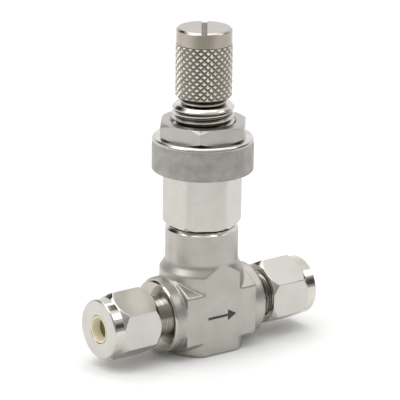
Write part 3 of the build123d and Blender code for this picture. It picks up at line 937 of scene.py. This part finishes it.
@dataclass
class Bonnet:
    """The bonnet: nose and body thread inside the body, a hexagon, and a panel-threaded neck.

    Attributes:
        across_flats: Size of the hexagon.
        edge_r: Radius of its corners.
        turned_r: Radius at which the corners are turned off.
        chamfer: How far in the cone under the hexagon goes.
        relief_r: Radius of the open joint between hexagon and body.
        crest_r: Radius over the panel thread.
        pitch: Advance of one turn, 18 to the inch.
        neck_chamfer: Chamfer of the neck's top edge.
        lead_in: From the neck's top to where the thread begins.
        well_r: Radius of the bore round the stem's shank.
        well_depth: Depth of that bore.
    """

    across_flats: float = 16.0
    edge_r: float = 0.22
    turned_r: float = 9.1
    chamfer: float = 0.7
    relief_r: float = 5.5
    crest_r: float = 7.145
    pitch: float = 25.4 / 18
    neck_chamfer: float = 0.75
    lead_in: float = 1.05
    well_r: float = 4.2
    well_depth: float = 14.1

    def build(self, finishes: Finishes) -> None:
        """Build the bonnet as a turned ring whose hexagon varies round the axis.

        Args:
            finishes: The shared finishes.
        """
        low, high = cad_box("bonnet")[:, 2]
        column = cad_box("valve_body")[1, 2]
        shoulder = cad_box("panel_ring")[0, 2]
        hex_z = column + 0.5
        angle, bar = hexagon(self.across_flats, 90.0, self.edge_r)
        bar = np.minimum(bar, self.turned_r)
        start = np.maximum(bar - (self.turned_r - self.chamfer), 0.02)
        root = self.crest_r - THREAD_DEPTH * self.pitch
        corners = [
            (low, 3.95), (low, 5.1), (low + 4.4, 5.1), (low + 4.4, 6.3), (column - 1, 6.3),
            (column - 1, self.relief_r), (hex_z, self.relief_r),
            (hex_z, np.minimum(bar - 0.02, self.turned_r - self.chamfer)),
            (hex_z + start, bar), (shoulder, bar), (shoulder, root), (high - self.lead_in - 0.2, root),
            (high - self.lead_in, self.crest_r), (high - self.neck_chamfer, self.crest_r),
            (high, self.crest_r - self.neck_chamfer), (high, self.well_r),
            (high - self.well_depth, self.well_r), (high - self.well_depth, 3.245), (high - 26.6, 3.245),
            (high - 26.6, 3.95),
        ]
        finish = [0] * len(corners)
        finish[8] = 1
        finish[10] = finish[11] = 2
        skin = Skin(finishes.port_height)
        skin.add_turned(corners, finish, Axis.STEM, angle, edge=0.1)
        thread_end = high - self.lead_in - 0.25
        skin.add_thread(Axis.STEM, shoulder + 0.3, thread_end, self.crest_r, self.pitch, 0.0, 2)
        skin.build("bonnet_hexagon", [finishes["stem_turned"], finishes["drawn_z"], finishes["neck"]], "body",
                   "satin_steel", ("bonnet",))


@dataclass
class PanelRing:
    """The blasted ring on the bonnet's shoulder, with its upper edge rounded and rubbed bright.

    Attributes:
        bore_r: Radius of the bore.
        fillet: Radius of the rounded edge.
    """

    bore_r: float = 7.345
    fillet: float = 0.85

    def build(self, finishes: Finishes) -> None:
        """Build the ring, its rounded edge a quarter circle of eight chords.

        Args:
            finishes: The shared finishes.
        """
        (low_x, _, low), (_, _, high) = cad_box("panel_ring")
        outer = -low_x
        bend = np.linspace(0, math.pi / 2, 8)
        rounding = [
            (high - self.fillet + self.fillet * math.sin(t), outer - self.fillet + self.fillet * math.cos(t))
            for t in bend
        ]
        corners = [(low, self.bore_r), (low, outer - 0.2), (low + 0.2, outer), *rounding, (high, self.bore_r)]
        finish = [0] * 3 + [1] * 9
        skin = Skin(finishes.port_height)
        skin.add_turned(corners, finish, Axis.STEM, even_angles(192), edge=0.03)
        metals = [finishes["blasted"], finishes["stem_turned"]]
        skin.build("blasted_panel_ring", metals, "panel_ring", "ring_steel", ("panel_ring",))


@dataclass
class PanelNut:
    """The thin hexagon nut, its corners turned off at 30 degrees on both faces.

    Attributes:
        across_flats: Size of the hexagon.
        corner_deg: Angle of one corner.
        edge_r: Radius of the corners.
        chamfer_r: Radius of the faces' chamfer circle.
        bore_r: Radius of the bore.
        countersink: Chamfer of the bore at both faces.
    """

    across_flats: float = 19.05
    corner_deg: float = 50.5
    edge_r: float = 0.2
    chamfer_r: float = 9.75
    bore_r: float = 7.195
    countersink: float = 0.5

    def build(self, finishes: Finishes) -> None:
        """Build the nut: where the bar stands out past the chamfer's circle, the face falls away by
        the overhang times the tangent of 30 degrees.

        Args:
            finishes: The shared finishes.
        """
        low, high = cad_box("panel_nut")[:, 2]
        angle, bar = hexagon(self.across_flats, self.corner_deg, self.edge_r)
        drop = np.maximum(bar - self.chamfer_r, 0.0) * math.tan(math.radians(30)) + 0.05
        face = np.minimum(self.chamfer_r, bar - 0.05)
        corners = [
            (low, self.bore_r + self.countersink), (low, face), (low + drop, bar), (high - drop, bar),
            (high, face), (high, self.bore_r + self.countersink), (high - self.countersink, self.bore_r),
            (low + self.countersink, self.bore_r),
        ]
        skin = Skin(finishes.port_height)
        skin.add_turned(corners, [0] * len(corners), Axis.STEM, angle, edge=0.07)
        skin.build("panel_nut_hexagon", [finishes["panel_nut"]], "panel_nut", "satin_steel", ("panel_nut",))


# --- handle ----------------------------------------------------------------------------------


@dataclass
class Handle:
    """The round handle: diamond knurl, smooth band, driver slot, bore and set-screw hole.

    Attributes:
        crest_r: Radius over the knurl's crests.
        band_r: Radius of the smooth band.
        skirt_r: Radius of the lower rim.
        skirt_height: Height of that rim.
        knurl_length: Height of the full knurl.
        starts: Number of grooves each way.
        diamond_height: Height of one diamond.
        groove_depth: Depth of the grooves.
        top_chamfer: Chamfer of the top edge.
        bore_r: Radius of the blind bore.
        bore_depth: Depth of that bore.
        slot_width: Width of the slot.
        slot_depth: Depth of the slot.
        slot_deg: Angle of the slot round the stem.
        screw_rise: Height of the set screw's hole above the lower rim.
        screw_r: Radius of that hole.
    """

    crest_r: float = 6.55
    band_r: float = 6.38
    skirt_r: float = 5.2
    skirt_height: float = 0.35
    knurl_length: float = 11.9
    starts: int = 23
    diamond_height: float = 1.57
    groove_depth: float = 0.43
    top_chamfer: float = 0.45
    bore_r: float = 2.39
    bore_depth: float = 12.0
    slot_width: float = 1.3
    slot_depth: float = 0.5
    slot_deg: float = 53.5
    screw_rise: float = 6.5
    screw_r: float = 1.52

    def knurl(self, z: np.ndarray, angle: np.ndarray) -> np.ndarray:
        """Give the knurl's radius: two sets of helical V grooves that cross, each as deep as the
        crest is high where a point is on its line, and level from a third of the way across.

        Args:
            z: The rows' heights above the knurl's start.
            angle: The columns' angles.

        Returns:
            The radius by row and column.
        """
        turn = angle * self.starts / TURN
        lift = z[:, None] / self.diamond_height
        away = [np.abs(u - np.round(u)) for u in (turn + lift, turn - lift)]
        near = np.minimum(*away)
        return self.crest_r - self.groove_depth * np.clip(1 - near * 3, 0, 1)

    def cutter(self, name: str, size: tuple, place: Vector, turn: Matrix) -> bpy.types.Object:
        """Make a tool for cutting the slot or the set screw's hole.

        Args:
            name: The tool's name.
            size: Half sizes of the box, or radius and length of the rod.
            place: Its middle.
            turn: How it is turned.

        Returns:
            The tool, to be removed after its cut.
        """
        angle = np.radians([45, 135, 225, 315]) if len(size) == 3 else even_angles(48)
        if len(size) == 3:
            ring = np.stack([np.sign(np.cos(angle)) * size[0], np.sign(np.sin(angle)) * size[1]], -1)
            tall = size[2]
        else:
            ring = np.stack([np.cos(angle), np.sin(angle)], -1) * size[0]
            tall = size[1]
        count = len(angle)
        spots = [(x, y, z) for z in (-tall, tall) for x, y in ring.tolist()]
        faces = [list(range(count))[::-1], list(range(count, 2 * count))]
        faces += [[i, (i + 1) % count, (i + 1) % count + count, i + count] for i in range(count)]
        mesh = bpy.data.meshes.new(name)
        mesh.from_pydata(spots, [], faces)
        mesh.transform(Matrix.Translation(place) @ turn)
        mesh.transform(Matrix.Scale(MM, 4))
        tool = bpy.data.objects.new(name, mesh)
        bpy.context.collection.objects.link(tool)
        return tool

    def build(self, finishes: Finishes) -> None:
        """Build the handle's turned and knurled skin, then cut its slot and hole.

        Args:
            finishes: The shared finishes.
        """
        low, high = cad_box("handle")[:, 2]
        angle = even_angles(6 * self.starts)
        cone = low + self.skirt_height
        start = cone + self.crest_r - self.skirt_r
        steps = int(round((start + self.knurl_length - cone - 0.4) / self.diamond_height * 6))
        rows = start + self.knurl_length - np.arange(steps, -1, -1) * self.diamond_height / 6
        knurl = self.knurl(rows - start, angle)
        knurl = np.minimum(knurl, self.skirt_r + (rows - cone)[:, None])
        floor = low + self.bore_depth
        before = corner_points([(floor, 0), (floor, self.bore_r), (low, self.bore_r), (low, self.skirt_r),
                                (cone, self.skirt_r)], len(angle))
        turned = self.band_r
        after = corner_points([
            (rows[-1] + 0.06, turned - 0.1), (rows[-1] + 0.16, turned),
            (high - self.top_chamfer - 0.03, turned),
            (high - self.top_chamfer + 0.03, turned - 0.03), (high - 0.03, turned - self.top_chamfer + 0.03),
            (high, turned - self.top_chamfer - 0.03), (high, turned * 0.5), (high, 0)], len(angle))
        outline = np.concatenate([before, np.stack([rows[:, None] + 0 * knurl, knurl], -1), after])
        numbers = np.concatenate([[1] * 5, [0] * len(rows), [1] * 3, [2] * 4]).astype(int)
        skin = Skin(finishes.port_height)
        skin.add_grid(skin.place(outline, angle, Axis.STEM), numbers, False, creased=True)
        metals = [finishes[key] for key in ("knurled", "band", "handle_top", "milled")]
        made = skin.build("knurled_handle", metals, "handle", "handle_steel", ("handle",), 20.0)
        tools = [
            self.cutter("slot_saw", (20, self.slot_width / 2, self.slot_depth), Vector((0, 0, high)),
                        Matrix.Rotation(math.radians(self.slot_deg), 4, "Z")),
            self.cutter("screw_drill", (self.screw_r, 5), Vector((0, 7, low + self.screw_rise)),
                        Matrix.Rotation(math.pi / 2, 4, "X")),
        ]
        for tool in tools:
            tool.data.materials.append(finishes["milled"])
            cut = made.modifiers.new(tool.name, "BOOLEAN")
            cut.operation, cut.solver, cut.object = "DIFFERENCE", "EXACT", tool
            cut.material_mode = "TRANSFER"
        made.modifiers.move(0, len(made.modifiers) - 1)
        bpy.context.view_layer.update()
        whole = bpy.data.meshes.new_from_object(made.evaluated_get(bpy.context.evaluated_depsgraph_get()))
        made.modifiers.clear()
        made.data = whole
        for tool in tools:
            bpy.data.objects.remove(tool)


# --- tube fittings ---------------------------------------------------------------------------


@dataclass
class TubeNut:
    """One tube nut: drawn hexagon, burnished nose, and the cones that turn its corners off.

    Attributes:
        axis: Which side it is on.
        corner_deg: Angle of one corner.
        across_flats: Size of the hexagon.
        length: Length over all.
        edge_r: Radius of the corners.
        nose_r: Radius of the nose.
        nose_length: Length of the nose.
        front_deg: Slope of the cone behind the nose.
        rear_r: Radius at the rear face.
        rear_chamfer: Length of the rear cone at a corner.
        bore_r: Radius of the tube's hole.
        thread_r: Radius of the nut's thread.
        pocket_r: Radius of the pocket for the ferrules.
    """

    axis: Axis
    corner_deg: float
    across_flats: float = 14.0
    length: float = 12.7
    edge_r: float = 0.26
    nose_r: float = 6.9
    nose_length: float = 2.7
    front_deg: float = 40.0
    rear_r: float = 7.0
    rear_chamfer: float = 1.5
    bore_r: float = 3.2
    thread_r: float = 5.605
    pocket_r: float = 5.1

    def build(self, finishes: Finishes) -> None:
        """Build the nut. Each cone meets the bar where the bar's radius equals the cone's, so the
        corners show crescents.

        Args:
            finishes: The shared finishes.
        """
        side = self.axis.value
        box = cad_box(f"{side}_tube_nut")
        face = max(abs(box[0, 0]), abs(box[1, 0]))
        rear = face - self.length
        angle, bar = hexagon(self.across_flats, self.corner_deg, self.edge_r)
        corner = self.across_flats / math.sqrt(3)
        nose = face - self.nose_length
        front = nose - (bar - self.nose_r) / math.tan(math.radians(self.front_deg))
        back = rear + (bar - self.rear_r) * self.rear_chamfer / (corner - self.rear_r)
        corners = [
            (rear, self.thread_r), (rear, self.rear_r - 0.02), (back, bar), (front, bar), (nose, self.nose_r),
            (face - 0.25, self.nose_r), (face, self.nose_r - 0.25), (face, self.bore_r + 0.18),
            (face - 0.18, self.bore_r), (face - 3.05, self.bore_r), (face - 3.95, self.pocket_r),
            (face - 5.25, self.pocket_r), (face - 5.25, self.thread_r),
        ]
        finish = [1, 1, 0, 1, 2, 1, 1, 1, 1, 1, 1, 1, 1]
        skin = Skin(finishes.port_height)
        skin.add_turned(corners, finish, self.axis, angle, edge=0.09)
        skin.build(f"{side}_hexagon_nut",
                   [finishes["drawn_x"], finishes["port_turned"], finishes["port_polished"]],
                   f"{side}_nut", "satin_steel", (f"{side}_tube_nut",))


@dataclass
class PortPlug:
    """One thin-walled plug: a cup with a soft rim, its floor deep inside the nut's bore.

    Attributes:
        axis: Which side it is on.
        outer_r: Outer radius.
        wall: Thickness of the wall.
        floor: Thickness of the floor.
    """

    axis: Axis
    outer_r: float = 3.15
    wall: float = 0.4
    floor: float = 0.4

    def build(self, finishes: Finishes) -> None:
        """Build the plug as an outline from the middle of its underside round to its floor.

        Args:
            finishes: The shared finishes.
        """
        side = self.axis.value
        box = np.abs(cad_box(f"{side}_port_plug")[:, 0])
        face, bottom = box.max(), box.min()
        inner = self.outer_r - self.wall
        corners = [
            (bottom, 0), (bottom, self.outer_r - 0.3),
            (bottom + 0.3, self.outer_r), (face - 0.12, self.outer_r),
            (face, self.outer_r - 0.12), (face, inner + 0.12), (face - 0.12, inner),
            (bottom + self.floor + 0.35, inner), (bottom + self.floor, inner - 0.35),
            (bottom + self.floor, 0),
        ]
        skin = Skin(finishes.port_height)
        # the floor's faces take the plug's painted shade
        skin.add_turned(corners, [0] * 7 + [1] * 2, self.axis, even_angles(96), False, 0.05)
        plastics = [finishes["plug"], finishes["plug_floor"]]
        skin.build(f"{side}_plastic_plug", plastics, f"{side}_plug", "plug_plastic", (f"{side}_port_plug",))


# --- the pieces kept from the CAD ------------------------------------------------------------


@dataclass
class InnerPieces:
    """The pieces inside the valve, which keep their CAD shape and get their finishes."""

    finish_of: tuple = (
        ("stem", "stem_turned"), ("handle_set_screw", "milled"), ("bonnet_gasket", "stem_turned"),
        ("stem_o_ring", "rubber"), ("lower_backup_ring", "ptfe"), ("upper_backup_ring", "ptfe"),
        ("left_front_ferrule", "port_turned"), ("left_back_ferrule", "port_turned"),
        ("right_front_ferrule", "port_turned"), ("right_back_ferrule", "port_turned"),
    )

    def dress(self, finishes: Finishes) -> None:
        """Give each piece its finish.

        Args:
            finishes: The shared finishes.
        """
        for name, key in self.finish_of:
            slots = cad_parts[name].material_slots
            for slot in slots:
                slot.material = finishes[key]
            log.info("%s: %s", name, key)


# --- floor, light and camera -----------------------------------------------------------------


@dataclass
class Studio:
    """A pale floor, soft light and a camera with a long lens.

    Attributes:
        azimuth: The camera's angle round the stem, from the valve's front, in degrees.
        elevation: Its angle above the level.
        roll: Its turn about its own axis.
        distance: From the middle of the tubes, in millimetres.
        lens: Focal length for a 36 mm sensor.
        shift: How far it stands to its right and above that line.
        front: Colour of the room away from its bright direction.
        rear: Colour of the room towards it.
        bright_way: The bright direction.
        window: Direction, inner and outer half angle in degrees, and strength of the window.
        front_shade_span: Where painted shade on the floor comes in, from and to, in metres before the stem.
        front_shade_tone: Colour of the painted shade at the floor's front.
        sky_strength: Strength of the room's light.
        gaps: Direction, inner and outer half angle in degrees, and depth of each dark gap.
    """

    azimuth: float = -36.5
    elevation: float = 17.39
    roll: float = 0.77
    distance: float = 731.4
    lens: float = 283.36
    shift: tuple = (-0.49, 24.63)
    front: str = "#A9A9A7"
    rear: str = "#FFFFFF"
    bright_way: tuple = (0.35, 0.47, 0.81)
    window: tuple = ((0.568, -0.44, 0.69), 6, 13, 2.6)
    front_shade_span: tuple = (0.19, 0.27)
    front_shade_tone: str = "#B4B2AF"
    sky_strength: float = 1.03
    gaps: tuple = (
        ((-0.25, 0.77, 0.59), 8, 26, 1.0), ((0.9, -0.4, 0.35), 10, 30, 0.8),
        ((0.568, -0.78, 0.264), 5, 13, 0.9),
    )

    def camera(self, port_height: float) -> None:
        """Place the camera.

        Args:
            port_height: Height of the tubes' axis, which it is measured from.
        """
        a, e = math.radians(self.azimuth), math.radians(self.elevation)
        back = Vector((math.sin(a) * math.cos(e), -math.cos(a) * math.cos(e), math.sin(e)))
        right = Vector((math.cos(a), math.sin(a), 0))
        up = back.cross(right)
        eye = Vector((0, 0, port_height)) + back * self.distance + right * self.shift[0] + up * self.shift[1]
        turn = Matrix((right, up, back)).transposed().to_4x4()
        turn = turn @ Matrix.Rotation(math.radians(self.roll), 4, "Z")
        made = bpy.data.cameras.new("long_lens")
        made.lens, made.sensor_width, made.clip_start, made.clip_end = self.lens, 36.0, 0.01, 20.0
        seen = bpy.data.objects.new("long_lens", made)
        seen.matrix_world = Matrix.Translation(eye * MM) @ turn
        bpy.context.collection.objects.link(seen)
        bpy.context.scene.camera = seen

    def lamp(self, name: str, place: tuple, size: tuple, power: float) -> None:
        """Hang a soft rectangular lamp that faces the valve.

        Args:
            name: The lamp's name.
            place: Where it is, in metres.
            size: Its width and height in metres.
            power: Its power in watts.
        """
        made = bpy.data.lights.new(name, "AREA")
        made.shape, made.size, made.size_y, made.energy = "RECTANGLE", *size, power
        lamp = bpy.data.objects.new(name, made)
        aim = Vector((0, 0, 0.035)) - Vector(place)
        facing = aim.to_track_quat("-Z", "Y").to_matrix().to_4x4()
        lamp.matrix_world = Matrix.Translation(Vector(place)) @ facing
        bpy.context.collection.objects.link(lamp)

    def sky(self, tree: bpy.types.NodeTree) -> None:
        """Paint the room round the valve: it brightens from the front towards one high rear
        direction, with dark gaps and one bright window. Each gap, and the window, is a cap of
        directions that fades from its middle.

        Args:
            tree: The world's node tree.
        """
        ground = tree.nodes["Background"]
        ground.inputs["Strength"].default_value = self.sky_strength
        way = add_node(tree, "TexCoord").outputs["Generated"]
        shade = None
        for middle, inner, outer, depth in self.gaps:
            toward = Vector(middle).normalized()
            near = add_node(tree, "VectorMath", {"operation": "DOT_PRODUCT"}, {0: way, 1: toward})
            cap = add_node(
                tree,
                "MapRange",
                {"interpolation_type": "SMOOTHSTEP"},
                {
                    "Value": near.outputs["Value"],
                    "From Min": math.cos(math.radians(outer)),
                    "From Max": math.cos(math.radians(inner)),
                    "To Max": depth,
                },
            ).outputs[0]
            if shade is not None:
                cap = add_node(tree, "Math", {"operation": "MAXIMUM"}, {0: shade, 1: cap}).outputs[0]
            shade = cap
        toward = add_node(tree, "VectorMath", {"operation": "DOT_PRODUCT"}, {0: way, 1: self.bright_way})
        climb = add_node(
            tree,
            "MapRange",
            sockets={"Value": toward.outputs["Value"], "From Min": -0.2, "From Max": 0.75},
        )
        room = add_node(
            tree,
            "Mix",
            {"data_type": "RGBA"},
            {0: climb.outputs[0], 6: linear(self.front), 7: linear(self.rear)},
        )
        light = add_node(
            tree, "Mix", {"data_type": "RGBA"}, {0: shade, 6: room.outputs[2], 7: linear("#2A2927")}
        )
        middle, inner, outer, strength = self.window
        facing = add_node(
            tree, "VectorMath", {"operation": "DOT_PRODUCT"}, {0: way, 1: Vector(middle).normalized()}
        )
        pane = add_node(
            tree,
            "MapRange",
            {"interpolation_type": "SMOOTHSTEP"},
            {
                "Value": facing.outputs["Value"],
                "From Min": math.cos(math.radians(outer)),
                "From Max": math.cos(math.radians(inner)),
            },
        )
        lit = add_node(
            tree,
            "Mix",
            {"data_type": "RGBA"},
            {0: pane.outputs[0], 6: light.outputs[2], 7: (strength, strength, strength, 1.0)},
        )
        tree.links.new(lit.outputs[2], ground.inputs["Color"])

    def paper(self) -> bpy.types.Material:
        """Make the floor's finish: white, with painted shade that greys it over the distance from the
        stem towards the front.

        Returns:
            The floor's material.
        """
        made = MouldedFinish("white_paper", "#FAFAFA", "#F8F8F8", 0.8, 30.0, 0.0, 1.3).material()
        tree = made.node_tree
        a = math.radians(self.azimuth)
        coords = add_node(tree, "TexCoord").outputs["Object"]
        ahead = add_node(
            tree, "VectorMath", {"operation": "DOT_PRODUCT"}, {0: coords, 1: (math.sin(a), -math.cos(a), 0)}
        )
        past = add_node(
            tree,
            "MapRange",
            sockets={
                "Value": ahead.outputs["Value"],
                "From Min": self.front_shade_span[0],
                "From Max": self.front_shade_span[1],
            },
        )
        sheet = tree.nodes["Principled BSDF"].inputs["Base Color"]
        # painted shade: the floor greys towards the front
        colour = add_node(
            tree,
            "Mix",
            {"data_type": "RGBA"},
            {0: past.outputs[0], 6: sheet.links[0].from_socket, 7: linear(self.front_shade_tone)},
        )
        tree.links.new(colour.outputs[2], sheet)
        return made

    def build(self, finishes: Finishes) -> None:
        """Set the camera, the floor and the light.

        Args:
            finishes: The shared finishes, for the height of the tubes.
        """
        self.camera(finishes.port_height)
        mesh = bpy.data.meshes.new("studio_floor")
        half = 3.0
        ground = [(-half, -half, 0), (half, -half, 0), (half, half, 0), (-half, half, 0)]
        mesh.from_pydata(ground, [], [(0, 1, 2, 3)])
        floor = bpy.data.objects.new("studio_floor", mesh)
        bpy.context.collection.objects.link(floor)
        mesh.materials.append(self.paper())
        self.lamp("overhead", (0.02, 0.08, 0.5), (0.5, 0.5), 1.1)
        self.lamp("left_window", (-0.45, 0.1, 0.52), (0.35, 0.35), 0.8)
        world = bpy.data.worlds.new("studio")
        world.use_nodes = True
        self.sky(world.node_tree)
        bpy.context.scene.world = world
        bpy.context.scene.view_settings.view_transform = "Standard"


def main() -> None:
    """Build the valve and its studio."""
    logging.basicConfig(level=logging.INFO, format="%(message)s")
    port_height = float(cad_box("left_front_ferrule")[:, 2].mean())
    finishes = Finishes(port_height)
    Studio().build(finishes)
    Forging(port_height).build(finishes)
    for axis, corner_deg in ((Axis.LEFT, 27.3), (Axis.RIGHT, 32.6)):
        PortEnd(axis).build(finishes)
        TubeNut(axis, corner_deg).build(finishes)
        PortPlug(axis).build(finishes)
    FlowArrow().build(finishes)
    for part in (Bonnet(), PanelRing(), PanelNut(), Handle()):
        part.build(finishes)
    InnerPieces().dress(finishes)


if __name__ == "__main__":
    main()
